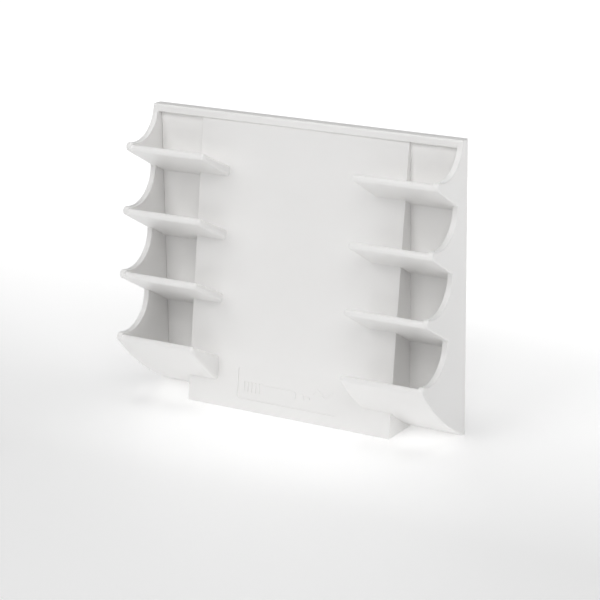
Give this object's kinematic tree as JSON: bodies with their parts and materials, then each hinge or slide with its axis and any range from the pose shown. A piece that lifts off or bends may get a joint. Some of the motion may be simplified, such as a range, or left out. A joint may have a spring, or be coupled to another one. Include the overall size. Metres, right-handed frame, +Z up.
{
  "type": "marker rack",
  "caption": "White moulded rack that holds board markers across sloping half-trays between two scalloped end walls, with a leaning panel that is also the foot and magnets behind.",
  "frame": {"origin": "middle of the footprint's bounding box, on the floor that the rack stands on", "axes": "+X across the rack along the markers, +Y back towards the board behind it, +Z up"},
  "size_m": [0.15, 0.0386, 0.1268],
  "materials": {
    "white_moulding": "satin-gloss injection-moulded white plastic",
    "cup_steel": "zinc-plated pressed steel",
    "ferrite": "dark grey ground ferrite",
    "grip_rubber": "matt dark grey rubber"
  },
  "bodies": {
    "root": {"rack_body": "white_moulding", "back_plate": "white_moulding", "magnet_cup_lower_left": "cup_steel", "magnet_cup_lower_right": "cup_steel", "magnet_cup_upper_left": "cup_steel", "magnet_cup_upper_right": "cup_steel", "magnet_lower_left": "ferrite", "magnet_lower_right": "ferrite", "magnet_upper_left": "ferrite", "magnet_upper_right": "ferrite", "grip_pad_lower_left": "grip_rubber", "grip_pad_lower_right": "grip_rubber", "grip_pad_upper_left": "grip_rubber", "grip_pad_upper_right": "grip_rubber"}
  },
  "joints": []
}
